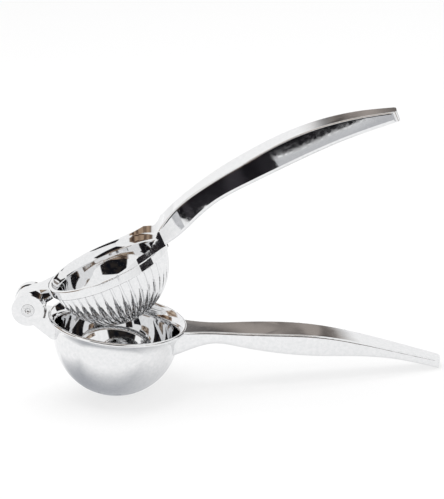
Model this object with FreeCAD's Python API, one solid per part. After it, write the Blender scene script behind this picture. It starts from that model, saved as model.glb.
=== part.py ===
"""Hinged lemon squeezer: two long polished levers joined at one end by a pin.

The lower lever carries a plain round bowl with drain holes. The upper lever carries a
hollow, fluted press cup that swings down into the bowl. Lengths are in millimetres.

Every piece is drawn in the lower lever's own frame, with the levers shut: the bowl's
rim lies in the plane z = 0, its axis is z, the handles point along +x and the hinge
axis runs along y. At the end the upper lever is swung open about the pin, and the
whole thing is laid down the way it rests on a table, on its bowl and its handle's tip.
"""
import math
import os

import FreeCAD
import Part
from FreeCAD import Vector

# Lower bowl
BOWL_BALL_R = 30.2          # outside of the round part
BOWL_WALL = 1.9
BOWL_BALL_DROP = 7.0        # centre of the round part, below the rim
BOWL_FLARE_R = 8.0          # bend of the lip, at the middle of the wall
BOWL_FLARE_ANGLE = 54.0     # how far the lip turns outwards
BOWL_FOOT_R = 5.5           # small flat under the bowl
DRAIN_HOLE_D = 3.6
DRAIN_RINGS = ((9.5, 8), (16.5, 14))   # ring radius and number of holes

# Press cup
CUP_DOME_INSET = 1.2        # the dome is this much smaller in radius than the bowl's outside
CUP_DOME_RISE = 7.2         # centre of the dome, above the bowl's rim
CUP_TOP = 9.0               # top of the cup, above the bowl's rim
CUP_COLLAR_STEP = 1.2       # the collar stands this far proud of the flutes
CUP_COLLAR_HEIGHT = 4.6
CUP_COLLAR_EDGE_R = 0.6
CUP_RIM_WIDTH = 1.6         # flat on top of the collar
CUP_LIP_SLOPE = 72.0        # the inside leaves the rim this steeply, in degrees
CUP_WALL = 1.4              # under the bottoms of the flutes
FLUTE_COUNT = 42
FLUTE_DEPTH = 1.05
FLUTE_LAND = 0.12           # crest between two flutes, as a share of their pitch
FLUTE_START_ANGLE = 92.0    # from the dome's foot, so that a groove starts inside the collar
FLUTE_END_ANGLE = 16.0      # smooth cap at the foot of the dome
FLUTE_SECTIONS = 6          # sections that one groove is drawn through

# Hinge
HINGE_OFFSET = 12.4         # from the outside of the bowl's round part to the pin
HINGE_RISE = 3.3            # pin above the bowl's rim
OPENING_ANGLE = 28.7        # the upper lever stands this far open
PIN_D = 5.0
PIN_RUNNING_GAP = 0.06      # all round, between the pin and the knuckle's bore
PIN_HEAD_D = 6.4            # peened end of the pin, sunk in the ear
PIN_HEAD_DEPTH = 0.9
PIN_HEAD_CHAMFER = 0.3      # round the head's end, so that a fine ring shows
PIN_DIMPLE_D = 2.8          # hollow that the peening punch left in each end
PIN_DIMPLE_DEPTH = 0.7
EAR_D = 15.4
EAR_THICKNESS = 4.0
EAR_BOSS_STEP = 1.1         # round boss, proud of the ear's web
HINGE_WIDTH = 20.0          # over both ears
KNUCKLE_D = 14.6
KNUCKLE_SIDE_GAP = 0.3      # between the knuckle and each ear
KNUCKLE_SWEEP_GAP = 0.5     # between the knuckle and the fork's root
FORK_ROOT_DEPTH = 10.4      # the fork's root reaches this far down the bowl
FORK_ROOT_INSET = 1.0       # the root's corners lie this far inside the ears' edge
FORK_ROOT_TOP_ANGLE = -30.0     # where the root meets the ears, from straight at the bowl
FORK_ROOT_FOOT_ANGLE = -75.0
ARM_FLARE = 4.2             # how much wider each side of the arm gets at the cup
ARM_FLARE_GAP = 0.6         # the arm starts to widen this far past the ears
ARM_FOOT_DROP = 1.5         # the arm's underside leaves the barrel this far below the pin

# Lower handle: distance from the outside of the bowl's round part, then the heights of
# the top and of the underside above the bowl's rim, and the half width
LOWER_STATIONS = (
    (-2.2, 0.0, -12.2, 10.6),
    (5.8, 0.4, -8.8, 8.5),
    (15.8, 1.2, -5.2, 7.4),
    (29.8, 2.6, -4.9, 8.6),
    (47.8, 4.4, -5.6, 9.3),
    (66.8, 5.2, -5.3, 8.3),
    (85.8, 3.8, -3.7, 7.2),
    (105.8, 1.1, -3.6, 6.2),
    (125.8, -1.8, -6.4, 4.6),
)
# Upper handle, levers shut: distance from the outside of the cup's collar, then the
# heights of the top and of the underside above the cup's rim, and the half width.
# The first rows are the crown, where the handle grows out of the rim.
UPPER_STATIONS = (
    (-25.2, 0.1, 0.0, 29.6),
    (-16.2, 1.5, 0.0, 26.4),
    (-8.2, 4.0, 0.0, 20.2),
    (0.8, 8.3, 0.0, 12.2),
    (7.8, 12.0, 0.8, 8.8),
    (15.8, 15.2, 3.6, 7.5),
    (29.8, 19.0, 8.8, 8.5),
    (47.8, 22.2, 11.5, 9.3),
    (73.8, 25.0, 13.2, 7.9),
    (93.8, 24.1, 13.9, 7.0),
    (109.8, 21.2, 13.4, 6.1),
    (123.8, 17.4, 12.2, 4.6),
)
CROWN_ROWS = 4              # how many of those rows are the crown
CROWN_SLOPE = 0.55          # how steeply the crown leans away from the mouth
HANDLE_TOP_EDGE_R = 0.9
HANDLE_UNDER_EDGE_R = 2.0
TIP_CORNER_R = 2.6          # corners of the handle's end, seen from above
TIP_EDGE_R = 1.2            # lower edge of the handle's end, seen from the side
TIP_RUN_ON = 6.0            # a handle is drawn this much longer, then cut to length

# What follows from those sizes
BOWL_INSIDE_R = BOWL_BALL_R - BOWL_WALL
CUP_DOME_R = BOWL_BALL_R - CUP_DOME_INSET       # over the crests of the flutes
CUP_COLLAR_R = CUP_DOME_R + CUP_COLLAR_STEP
CUP_MOUTH_R = CUP_COLLAR_R - CUP_RIM_WIDTH
CUP_COLLAR_FOOT = CUP_TOP - CUP_COLLAR_HEIGHT
HINGE_REACH = BOWL_BALL_R + HINGE_OFFSET        # from the bowl's axis to the pin
SLAB = 4 * BOWL_BALL_R                          # thicker than anything that is cut from it


def at(x, z):
    """A point of the middle plane."""
    return Vector(x, 0, z)


def turned(shape):
    """A full turn of a flat shape about the bowl's axis."""
    return shape.revolve(Vector(0, 0, 0), Vector(0, 0, 1), 360)


def across(points_and_edges, half_width):
    """A solid from an outline in the middle plane, as wide to both sides."""
    face = Part.Face(Part.Wire(points_and_edges))
    face.translate(Vector(0, -half_width, 0))
    return face.extrude(Vector(0, 2 * half_width, 0))


def line(start, end):
    return Part.LineSegment(start, end).toShape()


def arc(start, middle, end):
    return Part.Arc(start, middle, end).toShape()


def curve(points):
    """A smooth curve through a few points."""
    spline = Part.BSplineCurve()
    spline.interpolate(points)
    return spline.toShape()


def around(centre, radius, angle):
    """A point of the middle plane on a circle; 0 degrees is +x and 90 is +z."""
    angle = math.radians(angle)
    return at(centre.x + radius * math.cos(angle), centre.z + radius * math.sin(angle))


PIN = at(-HINGE_REACH, HINGE_RISE)


def bowl_outline():
    """Half section of the bowl: round below, with its lip turned outwards."""
    centre = at(0, -BOWL_BALL_DROP)
    outer = BOWL_BALL_R
    inner = BOWL_INSIDE_R
    bend = at(outer - BOWL_WALL / 2 + BOWL_FLARE_R, centre.z)
    bend_in = BOWL_FLARE_R - BOWL_WALL / 2
    bend_out = BOWL_FLARE_R + BOWL_WALL / 2
    lip = 180 - BOWL_FLARE_ANGLE
    half_way = (180 + lip) / 2
    foot = -math.degrees(math.acos(BOWL_FOOT_R / outer))
    foot_edge = around(centre, outer, foot)
    lip_middle = around(bend, BOWL_FLARE_R, lip)
    lip_end = around(lip_middle, BOWL_WALL / 2, lip - 90)
    return [
        line(at(0, foot_edge.z), foot_edge),
        arc(foot_edge, around(centre, outer, foot / 2), at(outer, centre.z)),
        arc(at(outer, centre.z), around(bend, bend_in, half_way), around(bend, bend_in, lip)),
        arc(around(bend, bend_in, lip), lip_end, around(bend, bend_out, lip)),
        arc(around(bend, bend_out, lip), around(bend, bend_out, half_way), at(inner, centre.z)),
        arc(at(inner, centre.z), around(centre, inner, -45), at(0, centre.z - inner)),
        line(at(0, centre.z - inner), at(0, foot_edge.z)),
    ]


def bowl_envelope():
    """The bowl as if it were solid, to cut what is fixed to its outside."""
    edges = bowl_outline()[:4]
    lip_top = edges[-1].Vertexes[-1].Point
    foot = edges[0].Vertexes[0].Point
    edges.append(line(lip_top, at(0, lip_top.z)))
    edges.append(line(at(0, lip_top.z), foot))
    return turned(Part.Face(Part.Wire(edges)))


def make_lower_bowl():
    bowl = turned(Part.Face(Part.Wire(bowl_outline())))
    depth = BOWL_BALL_DROP + BOWL_BALL_R
    drills = []
    for ring, count in DRAIN_RINGS:
        for index in range(count):
            angle = 2 * math.pi * index / count
            place = Vector(ring * math.cos(angle), ring * math.sin(angle), -depth)
            drills.append(Part.makeCylinder(DRAIN_HOLE_D / 2, depth / 2, place))
    return bowl.cut(drills)


def cup_inside():
    """The hollow of the press cup, open above."""
    centre = at(0, CUP_DOME_RISE)
    radius = CUP_DOME_R - FLUTE_DEPTH - CUP_WALL
    angle = math.degrees(math.asin((CUP_COLLAR_FOOT - centre.z) / radius))
    join = around(centre, radius, angle)
    lip = Part.BSplineCurve()
    lip.interpolate(
        [at(CUP_MOUTH_R, CUP_TOP), join],
        InitialTangent=around(at(0, 0), 1, CUP_LIP_SLOPE) * -1,
        FinalTangent=around(at(0, 0), 1, angle - 90),
    )
    top = CUP_TOP + CUP_COLLAR_HEIGHT
    edges = [
        line(at(0, top), at(CUP_MOUTH_R, top)),
        line(at(CUP_MOUTH_R, top), at(CUP_MOUTH_R, CUP_TOP)),
        lip.toShape(),
        arc(join, around(centre, radius, (angle - 90) / 2), at(0, centre.z - radius)),
        line(at(0, centre.z - radius), at(0, top)),
    ]
    return turned(Part.Face(Part.Wire(edges)))


def flute_cutter():
    """One tapering groove along the dome, from under the collar towards its foot."""
    centre = at(0, CUP_DOME_RISE)
    half_width = math.pi * CUP_DOME_R / FLUTE_COUNT * (1 - FLUTE_LAND)
    groove_r = (half_width ** 2 + FLUTE_DEPTH ** 2) / (2 * FLUTE_DEPTH)
    stand_off = groove_r - FLUTE_DEPTH
    sections = []
    for index in range(FLUTE_SECTIONS):
        part_way = index / (FLUTE_SECTIONS - 1)
        angle = FLUTE_START_ANGLE + (FLUTE_END_ANGLE - FLUTE_START_ANGLE) * part_way
        share = math.sin(math.radians(angle))
        middle = around(centre, CUP_DOME_R + stand_off * share, angle - 90)
        along = around(at(0, 0), 1, angle)
        circle = Part.Circle(middle, along, groove_r * share)
        sections.append(Part.Wire(circle.toShape()))
    return Part.makeLoft(sections, True)


def make_press_cup():
    centre = at(0, CUP_DOME_RISE)
    ball = Part.makeSphere(CUP_DOME_R, centre)
    above = Part.makeCylinder(2 * CUP_DOME_R, 2 * CUP_DOME_R, at(0, CUP_DOME_RISE))
    groove = flute_cutter()
    grooves = []
    for index in range(FLUTE_COUNT):
        copy = groove.copy()
        copy.rotate(Vector(0, 0, 0), Vector(0, 0, 1), 360 * (index + 0.5) / FLUTE_COUNT)
        grooves.append(copy)
    dome = ball.cut([above] + grooves)
    collar = Part.makeCylinder(CUP_COLLAR_R, CUP_COLLAR_HEIGHT, at(0, CUP_COLLAR_FOOT))
    collar = collar.makeFillet(CUP_COLLAR_EDGE_R, [e for e in collar.Edges if e.Closed])
    return dome.fuse(collar).cut(cup_inside())


def placed(stations, x, z):
    """A handle's table with its distances and heights measured from the origin."""
    return [(along + x, top + z, under + z, half) for along, top, under, half in stations]


LOWER_ROWS = placed(LOWER_STATIONS, BOWL_BALL_R, 0)
UPPER_ROWS = placed(UPPER_STATIONS, CUP_COLLAR_R, CUP_TOP)


def run_on(stations):
    """The same stations and one more, straight on past the handle's end."""
    before, last = stations[-2:]
    share = TIP_RUN_ON / (last[0] - before[0])
    return stations + [tuple(b + (b - a) * share for a, b in zip(before, last))]


def handle_slabs(stations, root=0):
    """The handle seen from the side and from above, each as a thick slab.

    Its underside runs flat along the first stations, up to the one numbered root.
    """
    top = [at(x, z) for x, z, _, _ in stations]
    under = [at(x, z) for x, _, z, _ in stations]
    edges = [line(under[0], top[0]), curve(top), line(top[-1], under[-1])]
    if root:
        edges.append(line(under[0], under[root]))
    edges.append(curve(under[root:]))
    side = across(Part.__sortEdges__(edges), SLAB / 2)
    near = [Vector(x, -half, -SLAB / 2) for x, _, _, half in stations]
    far = [Vector(p.x, -p.y, p.z) for p in near]
    edges = [curve(near), line(near[-1], far[-1]), curve(far), line(far[0], near[0])]
    plan = Part.Face(Part.Wire(Part.__sortEdges__(edges))).extrude(Vector(0, 0, SLAB))
    return side, plan


def long_edges(bar):
    """The four edges that run along a handle, the lower two first."""
    found = [e for e in bar.Edges if e.BoundBox.XLength > bar.BoundBox.XLength / 2]
    return sorted(found, key=lambda e: e.valueAt((e.FirstParameter + e.LastParameter) / 2).z)


def tip_cutters(tip):
    """What is taken off the handle's end to square it and to round its corners."""
    x, _, under, half = tip
    tall = Vector(0, 0, SLAB)
    cutters = [beside(x, True)]
    for side in (-1, 1):
        corner = Vector(x, side * half, -SLAB / 2)
        along = corner - Vector(TIP_CORNER_R, 0, 0)
        inward = corner - Vector(0, side * TIP_CORNER_R, 0)
        centre = inward - Vector(TIP_CORNER_R, 0, 0)
        bulge = centre + Vector(1, side, 0) * (TIP_CORNER_R * math.sqrt(0.5))
        beyond = corner + Vector(1, side, 0)
        outline = [
            arc(along, bulge, inward),
            line(inward, Vector(beyond.x, inward.y, beyond.z)),
            line(Vector(beyond.x, inward.y, beyond.z), beyond),
            line(beyond, Vector(along.x, beyond.y, beyond.z)),
            line(Vector(along.x, beyond.y, beyond.z), along),
        ]
        cutters.append(Part.Face(Part.Wire(outline)).extrude(tall))
    corner = at(x - TIP_EDGE_R, under + TIP_EDGE_R)
    cutters.append(across([
        arc(at(x, corner.z), around(corner, TIP_EDGE_R, -45), at(corner.x, under)),
        line(at(corner.x, under), at(corner.x, under - TIP_EDGE_R)),
        line(at(corner.x, under - TIP_EDGE_R), at(x + TIP_EDGE_R, under - TIP_EDGE_R)),
        line(at(x + TIP_EDGE_R, under - TIP_EDGE_R), at(x + TIP_EDGE_R, corner.z)),
        line(at(x + TIP_EDGE_R, corner.z), at(x, corner.z)),
    ], SLAB / 2))
    return cutters


def beside(x, forward):
    """Everything on one side of a distance from the bowl's axis."""
    low = x if forward else x - 2 * SLAB
    corner = Vector(low, -SLAB / 2, -SLAB / 2)
    return Part.makeBox(2 * SLAB, SLAB, SLAB, corner)


def make_bar(stations, start, root=0):
    """A handle from a given distance on: two slabs crossed, with the long edges rounded."""
    side, plan = handle_slabs(run_on(stations), root)
    bar = side.common(plan).cut(beside(start, False)).Solids[0]
    bar = bar.makeFillet(HANDLE_TOP_EDGE_R, long_edges(bar)[2:])
    bar = bar.makeFillet(HANDLE_UNDER_EDGE_R, long_edges(bar)[:2])
    return bar.cut(tip_cutters(stations[-1]))


def make_lower_handle():
    return make_bar(LOWER_ROWS, LOWER_ROWS[0][0]).cut(bowl_envelope())


def make_upper_handle():
    """The handle and, at its root, the crown that grows out of the cup's rim."""
    root = CROWN_ROWS - 1
    crown_end = UPPER_ROWS[root][0]
    bar = make_bar(UPPER_ROWS, crown_end, root)
    side, plan = handle_slabs(UPPER_ROWS, root)
    disc = Part.makeCylinder(CUP_COLLAR_R, SLAB, at(0, -SLAB / 2))
    crown = side.common(plan.fuse(disc)).cut(beside(crown_end, True))
    height = CUP_COLLAR_R
    mouth = Part.makeCone(CUP_MOUTH_R, CUP_MOUTH_R + height * CROWN_SLOPE, height, at(0, CUP_TOP))
    return crown.fuse(bar).cut(mouth).removeSplitter()


def hinge_rod(radius, half):
    """A cylinder on the pin's axis, as long to both sides."""
    return Part.makeCylinder(radius, 2 * half, Vector(PIN.x, -half, PIN.z), Vector(0, 1, 0))


def make_hinge_fork():
    """Two round ears on a root that follows the outside of the bowl."""
    inner = HINGE_WIDTH / 2 - EAR_THICKNESS
    ear_r = EAR_D / 2
    web_half = HINGE_WIDTH / 2 - EAR_BOSS_STEP
    top = around(PIN, ear_r - FORK_ROOT_INSET, FORK_ROOT_TOP_ANGLE)
    foot = around(PIN, ear_r - FORK_ROOT_INSET, FORK_ROOT_FOOT_ANGLE)
    root = across([
        line(at(0, 0), top),
        line(top, foot),
        line(foot, at(-BOWL_BALL_R, -FORK_ROOT_DEPTH)),
        line(at(-BOWL_BALL_R, -FORK_ROOT_DEPTH), at(0, -FORK_ROOT_DEPTH)),
        line(at(0, -FORK_ROOT_DEPTH), at(0, 0)),
    ], web_half)
    fork = root
    for side in (-1, 1):
        start = Vector(PIN.x, side * inner, PIN.z)
        ear = Part.makeCylinder(ear_r, EAR_THICKNESS, start, Vector(0, side, 0))
        fork = fork.fuse(ear)
    sweep = hinge_rod(KNUCKLE_D / 2 + KNUCKLE_SWEEP_GAP, inner)
    bore = hinge_rod(PIN_D / 2, HINGE_WIDTH / 2)
    fork = fork.cut([sweep, bore] + pin_heads()).cut(bowl_envelope())
    return fork.removeSplitter()


def pin_heads():
    """The two cones that the pin's ends are peened into."""
    heads = []
    for side in (-1, 1):
        face = Vector(PIN.x, side * HINGE_WIDTH / 2, PIN.z)
        heads.append(Part.makeCone(PIN_HEAD_D / 2, PIN_D / 2, PIN_HEAD_DEPTH, face, Vector(0, -side, 0)))
    return heads


def make_hinge_pin():
    """The pin, with each end chamfered at its edge and dished in its middle."""
    pin = hinge_rod(PIN_D / 2, HINGE_WIDTH / 2).fuse(pin_heads()).removeSplitter()
    end_edges = [e for e in pin.Edges if abs(abs(e.CenterOfMass.y) - HINGE_WIDTH / 2) < PIN_RUNNING_GAP]
    pin = pin.makeChamfer(PIN_HEAD_CHAMFER, end_edges)
    dimple_r = PIN_DIMPLE_D / 2
    ball_r = (dimple_r ** 2 + PIN_DIMPLE_DEPTH ** 2) / (2 * PIN_DIMPLE_DEPTH)
    beyond = HINGE_WIDTH / 2 + ball_r - PIN_DIMPLE_DEPTH
    for side in (-1, 1):
        pin = pin.cut(Part.makeSphere(ball_r, Vector(PIN.x, side * beyond, PIN.z)))
    return pin


def make_hinge_knuckle():
    """The barrel round the pin and the arm that carries the cup."""
    half = HINGE_WIDTH / 2 - EAR_THICKNESS - KNUCKLE_SIDE_GAP
    radius = KNUCKLE_D / 2
    barrel = hinge_rod(radius, half)
    crest = at(PIN.x, PIN.z + radius)
    foot = at(PIN.x + radius, PIN.z - ARM_FOOT_DROP)
    arm_side = across([
        line(PIN, crest),
        line(crest, at(-CUP_MOUTH_R, CUP_TOP)),
        line(at(-CUP_MOUTH_R, CUP_TOP), at(-CUP_MOUTH_R, CUP_COLLAR_FOOT)),
        line(at(-CUP_MOUTH_R, CUP_COLLAR_FOOT), foot),
        line(foot, PIN),
    ], HINGE_WIDTH)
    flare_start = PIN.x + EAR_D / 2 + ARM_FLARE_GAP
    low = -SLAB / 2
    outline = [
        Vector(PIN.x, -half, low),
        Vector(flare_start, -half, low),
        Vector(-CUP_MOUTH_R, -half - ARM_FLARE, low),
        Vector(-CUP_MOUTH_R, half + ARM_FLARE, low),
        Vector(flare_start, half, low),
        Vector(PIN.x, half, low),
        Vector(PIN.x, -half, low),
    ]
    arm_plan = Part.Face(Part.makePolygon(outline)).extrude(Vector(0, 0, SLAB))
    bore = hinge_rod(PIN_D / 2 + PIN_RUNNING_GAP, HINGE_WIDTH)
    collar = Part.makeCylinder(CUP_COLLAR_R, SLAB, at(0, low))
    arm = arm_side.common(arm_plan).cut(collar)
    return barrel.fuse(arm).cut(bore).removeSplitter()


def resting_tilt():
    """How far the lower lever leans for its bowl and its handle's tip to touch the table."""
    tip = LOWER_ROWS[-1]
    tip_x = tip[0] - TIP_EDGE_R
    tip_z = tip[2] + TIP_EDGE_R
    drop = -BOWL_BALL_DROP - tip_z
    reach = math.hypot(tip_x, drop)
    return math.degrees(math.asin((BOWL_BALL_R - TIP_EDGE_R) / reach) - math.atan2(drop, tip_x))


LOWER_LEVER = {
    "lower_bowl": make_lower_bowl,
    "lower_handle": make_lower_handle,
    "hinge_fork": make_hinge_fork,
    "hinge_pin": make_hinge_pin,
}
UPPER_LEVER = {
    "press_cup": make_press_cup,
    "upper_handle": make_upper_handle,
    "hinge_knuckle": make_hinge_knuckle,
}


def main():
    pieces = {}
    for name, make in LOWER_LEVER.items():
        pieces[name] = make()
    for name, make in UPPER_LEVER.items():
        pieces[name] = make()
        pieces[name].rotate(PIN, Vector(0, -1, 0), OPENING_ANGLE)
    tilt = resting_tilt()
    for shape in pieces.values():
        shape.rotate(Vector(0, 0, 0), Vector(0, 1, 0), tilt)
    boxes = [shape.optimalBoundingBox(False, False) for shape in pieces.values()]
    middle = (min(box.XMin for box in boxes) + max(box.XMax for box in boxes)) / 2
    floor = min(box.ZMin for box in boxes)
    os.makedirs("parts", exist_ok=True)
    for name, shape in pieces.items():
        shape.translate(Vector(-middle, 0, -floor))
        shape.exportStep(os.path.join("parts", name + ".step"))
        print(name, shape.ShapeType, len(shape.Solids), round(shape.Volume), shape.isValid())
    pin = Vector(PIN)
    turn = FreeCAD.Rotation(Vector(0, 1, 0), tilt)
    pin = turn.multVec(pin) - Vector(middle, 0, floor)
    print("tilt", round(tilt, 3), "pin", pin, "middle", middle, "floor", floor)
    print("length", max(b.XMax for b in boxes) - min(b.XMin for b in boxes),
          "height", max(b.ZMax for b in boxes) - floor)


main()
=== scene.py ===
import bpy
from mathutils import Matrix, Vector

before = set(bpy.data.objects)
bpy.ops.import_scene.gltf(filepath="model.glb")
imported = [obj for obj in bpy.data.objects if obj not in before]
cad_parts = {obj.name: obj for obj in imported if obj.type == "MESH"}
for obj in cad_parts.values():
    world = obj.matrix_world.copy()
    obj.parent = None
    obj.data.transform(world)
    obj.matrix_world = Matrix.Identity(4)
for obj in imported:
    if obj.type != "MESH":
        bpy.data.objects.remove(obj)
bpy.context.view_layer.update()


# The photograph's viewpoint: a long lens a metre away, a little above the squeezer
# and square to its side, rolled a few degrees so that the levers lean as they do there.
FOCUS_POINT = Vector((0.00085, 0.00766, 0.06531))
CAMERA_PLACE = Vector((0.0446, -0.9398, 0.3835))
CAMERA_UP = Vector((0.0817, 0.3415, 0.9364))
LENS_MM = 151.07
SENSOR_MM = 36

back = (CAMERA_PLACE - FOCUS_POINT).normalized()
right = CAMERA_UP.cross(back).normalized()
up = back.cross(right)
camera = bpy.data.objects.new("camera", bpy.data.cameras.new("camera"))
bpy.context.scene.collection.objects.link(camera)
camera.matrix_world = Matrix((
    (right.x, up.x, back.x, CAMERA_PLACE.x),
    (right.y, up.y, back.y, CAMERA_PLACE.y),
    (right.z, up.z, back.z, CAMERA_PLACE.z),
    (0, 0, 0, 1),
))
camera.data.lens = LENS_MM
camera.data.sensor_width = SENSOR_MM
camera.data.clip_start = 0.01
bpy.context.scene.camera = camera


# The press cup: a fluted zinc die casting, mopped smooth and plated with bright chrome.
# It hangs from the upper lever and is pressed down into the half lemon.
CLEAR_CHROME = "#E4E5E6"
HAZY_CHROME = "#EDEDEE"
WAVE_HEIGHT = 0.0001            # metres, of the slow waves that mopping leaves in the zinc
WAVE_SHARE = 0.12               # how much of that height the plate still shows


def linear(hex_colour):
    """The sRGB colour as the linear numbers that a shader takes."""
    parts = [int(hex_colour[i:i + 2], 16) / 255 for i in (1, 3, 5)]
    return [c / 12.92 if c <= 0.04045 else ((c + 0.055) / 1.055) ** 2.4 for c in parts] + [1]


def add_node(material, kind, settings=None, **links):
    """Adds a node, sets its properties and sockets, and links sockets to other nodes' outputs."""
    node = material.node_tree.nodes.new(kind)
    for name, value in (settings or {}).items():
        if name in node.inputs:
            node.inputs[name].default_value = value
        else:
            setattr(node, name, value)
    for name, output in links.items():
        material.node_tree.links.new(output, node.inputs[name.replace("_", " ")])
    return node


# Chrome mirrors the room in a cool grey. The mop's marks are a few hundredths of a
# millimetre apart, and are drawn a millimetre or so wide, as a faint haze that shows.
def chrome(name, clearest, haziest, mop_mm, wave_mm):
    """Bright plate: a mirror with slow waves under it and a patchy haze over it."""
    plate = bpy.data.materials.new(name)
    plate.use_nodes = True
    plate.node_tree.nodes.clear()
    place = add_node(plate, "ShaderNodeTexCoord").outputs["Object"]
    haze = add_node(plate, "ShaderNodeTexNoise",
                    {"Scale": 1000 / mop_mm, "Detail": 4.0}, Vector=place)
    rough = add_node(plate, "ShaderNodeMapRange",
                     {"From Min": 0.35, "From Max": 0.65, "To Min": clearest,
                      "To Max": haziest}, Value=haze.outputs["Fac"])
    wave = add_node(plate, "ShaderNodeTexNoise",
                    {"Scale": 1000 / wave_mm, "Detail": 1.0}, Vector=place)
    waves = add_node(plate, "ShaderNodeBump",
                     {"Strength": WAVE_SHARE, "Distance": WAVE_HEIGHT},
                     Height=wave.outputs["Fac"])
    tone = add_node(plate, "ShaderNodeMapRange",
                    {"From Min": 0.3, "From Max": 0.7}, Value=haze.outputs["Fac"])
    colour = add_node(plate, "ShaderNodeMix", {"data_type": "RGBA"})
    colour.inputs[6].default_value = linear(CLEAR_CHROME)
    colour.inputs[7].default_value = linear(HAZY_CHROME)
    plate.node_tree.links.new(tone.outputs["Result"], colour.inputs[0])
    surface = add_node(plate, "ShaderNodeBsdfPrincipled", {"Metallic": 1.0},
                       Base_Color=colour.outputs[2], Roughness=rough.outputs["Result"],
                       Normal=waves.outputs["Normal"])
    add_node(plate, "ShaderNodeOutputMaterial", Surface=surface.outputs["BSDF"])
    return plate


def finish_node(node, material):
    """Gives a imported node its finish."""
    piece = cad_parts[node]
    piece.data.materials.clear()
    piece.data.materials.append(material)
    for face in piece.data.polygons:
        face.material_index = 0


# Flutes are harder to mop than a plain bar, so their plate is a little hazier.
cup_chrome = chrome("bright_chrome_on_fluted_zinc", clearest=0.03, haziest=0.07,
                    mop_mm=1.2, wave_mm=9.0)
finish_node("press_cup", cup_chrome)


# The bowl, both handles and the hinge castings: the same plate over smooth, mopped zinc,
# brazed together into the two levers. Their reflections run long and clean along the bars.
lever_chrome = chrome("bright_chrome_on_polished_zinc", clearest=0.02, haziest=0.05,
                      mop_mm=1.6, wave_mm=14.0)
for lever_part in ("lower_bowl", "lower_handle", "upper_handle", "hinge_fork", "hinge_knuckle"):
    finish_node(lever_part, lever_chrome)


# The hinge pin: a turned steel rod through both ears, peened over at its two ends.
# The hammered face is softer than the chrome round it and only blurs what it mirrors.
pin_steel = chrome("peened_steel", clearest=0.16, haziest=0.28, mop_mm=0.5, wave_mm=3.0)
finish_node("hinge_pin", pin_steel)


# The table: matt white paper that runs on behind the squeezer and holds its soft shadow.
# The camera and the mirrors see most of it as plain white, and the rest takes the light.
PAPER = "#F4F4F4"
PAPER_OWN_SHARE = 0.7


def sheet_of_paper(name, colour, own_share):
    """White paper, part of whose brightness is its own so that it never turns grey."""
    paper = bpy.data.materials.new(name)
    paper.use_nodes = True
    paper.node_tree.nodes.clear()
    matt = add_node(paper, "ShaderNodeBsdfDiffuse", {"Color": linear(colour)})
    plain = add_node(paper, "ShaderNodeEmission", {"Color": (1, 1, 1, 1), "Strength": 1.0})
    ray = add_node(paper, "ShaderNodeLightPath")
    seen = add_node(paper, "ShaderNodeMath", {"operation": "MAXIMUM"})
    paper.node_tree.links.new(ray.outputs["Is Camera Ray"], seen.inputs[0])
    paper.node_tree.links.new(ray.outputs["Is Glossy Ray"], seen.inputs[1])
    share = add_node(paper, "ShaderNodeMath", {"operation": "MULTIPLY"})
    share.inputs[1].default_value = own_share
    paper.node_tree.links.new(seen.outputs[0], share.inputs[0])
    both = add_node(paper, "ShaderNodeMixShader", Fac=share.outputs[0])
    paper.node_tree.links.new(matt.outputs[0], both.inputs[1])
    paper.node_tree.links.new(plain.outputs[0], both.inputs[2])
    add_node(paper, "ShaderNodeOutputMaterial", Surface=both.outputs[0])
    return paper


def card(name, centre, across, along, material):
    """A flat card, from its centre and the two half edges that span it."""
    middle, a, b = Vector(centre), Vector(across), Vector(along)
    mesh = bpy.data.meshes.new(name)
    corners = [middle - a - b, middle + a - b, middle + a + b, middle - a + b]
    mesh.from_pydata(corners, [], [(0, 1, 2, 3)])
    mesh.materials.append(material)
    made = bpy.data.objects.new(name, mesh)
    bpy.context.scene.collection.objects.link(made)
    return made


white_paper = sheet_of_paper("matt_white_paper", PAPER, PAPER_OWN_SHARE)
card("floor", (0, 0.6, 0), (3, 0, 0), (0, 3, 0), white_paper)


# The room that the chrome mirrors: cards that no other surface sees. The dark table and
# the dark room in front draw the black sides of the upper handle and the shapes in the
# cup, and the brown walls tint the bowl's inside and the lower handle's top.
CHARCOAL, LIGHTER_CHARCOAL = "#1A191C", "#343236"
NIGHT, LIGHTER_NIGHT = "#17181C", "#26272C"
LOW_PATCH, HIGH_PATCH = 0.42, 0.6       # noise below the one is dark, above the other pale


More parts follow.
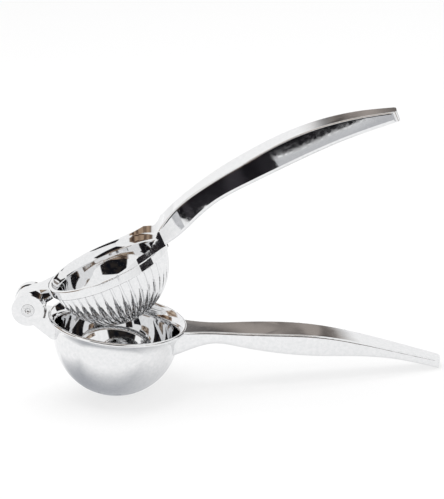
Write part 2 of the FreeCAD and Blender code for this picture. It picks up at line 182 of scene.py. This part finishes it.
def room_card(name, centre, across, along, dark, pale, patches=3.0, soft=0.06):
    """A soft-edged card in two patchy colours. It shows in the chrome alone and lights nothing."""
    material = bpy.data.materials.new(name)
    material.use_nodes = True
    material.node_tree.nodes.clear()
    place = add_node(material, "ShaderNodeTexCoord").outputs["UV"]
    noise = add_node(material, "ShaderNodeTexNoise", {"Scale": patches, "Detail": 1.0},
                     Vector=place)
    patchy = add_node(material, "ShaderNodeMapRange",
                      {"From Min": LOW_PATCH, "From Max": HIGH_PATCH},
                      Value=noise.outputs["Fac"])
    colour = add_node(material, "ShaderNodeMix", {"data_type": "RGBA"})
    colour.inputs[6].default_value = linear(dark)
    colour.inputs[7].default_value = linear(pale)
    material.node_tree.links.new(patchy.outputs[0], colour.inputs[0])
    own = add_node(material, "ShaderNodeEmission", Color=colour.outputs[2])

    # The card fades out over a share of its width, counted from its nearest edge.
    sides = add_node(material, "ShaderNodeSeparateXYZ", Vector=place)
    nearest = add_node(material, "ShaderNodeMath", {"operation": "MINIMUM"})
    for i in (0, 1):
        edge = add_node(material, "ShaderNodeMath", {"operation": "PINGPONG"})
        edge.inputs[1].default_value = 0.5
        material.node_tree.links.new(sides.outputs[i], edge.inputs[0])
        material.node_tree.links.new(edge.outputs[0], nearest.inputs[i])
    fade = add_node(material, "ShaderNodeMapRange",
                    {"interpolation_type": "SMOOTHSTEP", "From Max": soft},
                    Value=nearest.outputs[0])
    shown = add_node(material, "ShaderNodeMixShader", Fac=fade.outputs[0])
    clear = add_node(material, "ShaderNodeBsdfTransparent")
    material.node_tree.links.new(clear.outputs[0], shown.inputs[1])
    material.node_tree.links.new(own.outputs[0], shown.inputs[2])
    add_node(material, "ShaderNodeOutputMaterial", Surface=shown.outputs[0])

    made = card(name, centre, across, along, material)
    corners = made.data.uv_layers.new(name="card")
    for loop, corner in zip(corners.data, ((0, 0), (1, 0), (1, 1), (0, 1))):
        loop.uv = corner
    made.visible_camera = False
    made.visible_diffuse = False
    made.visible_transmission = False
    made.visible_shadow = False


# On the table, a millimetre or two up. The first three meet along one slanted edge, which
# is what splits the upper handle's side into a dark and a light band.
room_card("table_in_front", (-0.022, -0.778, 0.0015), (0.098, -0.115, 0), (0, -0.5, 0),
          CHARCOAL, LIGHTER_CHARCOAL, soft=0.005)
room_card("table_further_off", (0.475, -1.185, 0.002), (0.425, -0.463, 0), (0, -0.3, 0),
          CHARCOAL, LIGHTER_CHARCOAL, soft=0.005)
room_card("table_edge", (0.484, -0.845, 0.001), (0.416, -0.453, 0), (0, -0.05, 0),
          "#BFC0C3", "#D4D5D7", soft=0.005)
# A soft grey card on the table under the bowl, which only the chrome sees: a painted shadow, a
# darker contact shadow that the bowl's outside mirrors as a darker band at the lower left and
# along the bottom.
room_card("painted_shadow_under_the_bowl", (-0.072, -0.01, 0.0005), (0.065, 0, 0), (0, 0.04, 0),
          "#AEB0B5", "#B6B8BC", soft=0.45)
# A dark card on the table behind the squeezer, which only the chrome sees: a painted shadow for
# the parts that mirror the table behind.
room_card("painted_shadow_behind", (0.02, 0.42, 0.001), (0.1, 0, 0), (0, 0.12, 0), "#3C3B3F", "#55545A")

# In front of the squeezer, then round it to the right, the left and overhead.
room_card("room_in_front", (-0.25, -1.35, 0.7), (0.85, 0, 0), (0, 0, 0.54),
          "#14151A", "#2B2725", patches=4.0)
room_card("counter_in_front", (0.15, -1.34, 0.16), (1.4, 0, 0), (0, 0, 0.14),
          "#3A2F28", "#A08C7A", patches=4.0, soft=0.1)
room_card("door_at_right", (1.09, -0.26, 0.05), (0.07, 0.3, 0), (0, 0, 0.05),
          "#232226", "#2F2C2D", soft=0.02)
room_card("shelf_at_right", (1.23, -0.52, 0.28), (0.17, 0.42, 0), (0, 0, 0.15),
          "#5E4E42", "#C4B4A4", patches=4.0, soft=0.1)
room_card("room_at_right", (1.11, 0.2, 0.6), (-0.06, 0.3, 0), (0, 0, 0.28),
          NIGHT, LIGHTER_NIGHT)
room_card("room_behind_right", (0.82, 0.82, 0.4), (0.22, -0.19, 0), (0, 0, 0.34),
          NIGHT, "#3C342E")
room_card("wall_at_left", (-1.25, 0.05, 0.42), (0, 0.7, 0), (0, 0, 0.4),
          "#4A3B32", "#A8917C", patches=5.0)
room_card("wall_behind_left", (-0.79, 0.52, 0.85), (0.17, 0.25, 0), (0, 0, 0.3),
          "#8A7462", "#C9B8A6", soft=0.2)
room_card("warm_ceiling", (-0.1, 0, 1.1), (0.55, 0, 0), (0, 0.5, 0), "#75614F", "#BFAD9A")
room_card("warm_wall", (0.14, 0.6, 0.26), (0.2, 0, 0), (0, 0, 0.06),
          "#4F4A48", "#A29A94", patches=5.0, soft=0.2)


# Studio light: a plain white room and one large soft lamp overhead, which the chrome
# doesn't mirror. The camera and the mirrors see the room as white.
ROOM_LIGHT = 0.75
LAMP_WIDTH = 0.9
LAMP_WATTS = 9
LAMP_PLACE = Vector((-0.2, 0.1, 1.2))

world = bpy.data.worlds.new("white_room")
bpy.context.scene.world = world
world.use_nodes = True
world.node_tree.nodes.clear()
walls = add_node(world, "ShaderNodeBackground", {"Color": (1, 1, 1, 1), "Strength": ROOM_LIGHT})
seen_walls = add_node(world, "ShaderNodeBackground", {"Color": (1, 1, 1, 1), "Strength": 1.0})
ray = add_node(world, "ShaderNodeLightPath")
seen = add_node(world, "ShaderNodeMath", {"operation": "MAXIMUM"})
world.node_tree.links.new(ray.outputs["Is Camera Ray"], seen.inputs[0])
world.node_tree.links.new(ray.outputs["Is Glossy Ray"], seen.inputs[1])
room = add_node(world, "ShaderNodeMixShader", Fac=seen.outputs[0])
world.node_tree.links.new(walls.outputs[0], room.inputs[1])
world.node_tree.links.new(seen_walls.outputs[0], room.inputs[2])
add_node(world, "ShaderNodeOutputWorld", Surface=room.outputs[0])

lamp = bpy.data.objects.new("soft_lamp", bpy.data.lights.new("soft_lamp", "AREA"))
lamp.data.size = LAMP_WIDTH
lamp.data.energy = LAMP_WATTS
lamp.visible_glossy = False
lamp.location = LAMP_PLACE
lamp.rotation_euler = LAMP_PLACE.to_track_quat("Z", "Y").to_euler()
bpy.context.scene.collection.objects.link(lamp)
bpy.context.scene.view_settings.view_transform = "Standard"
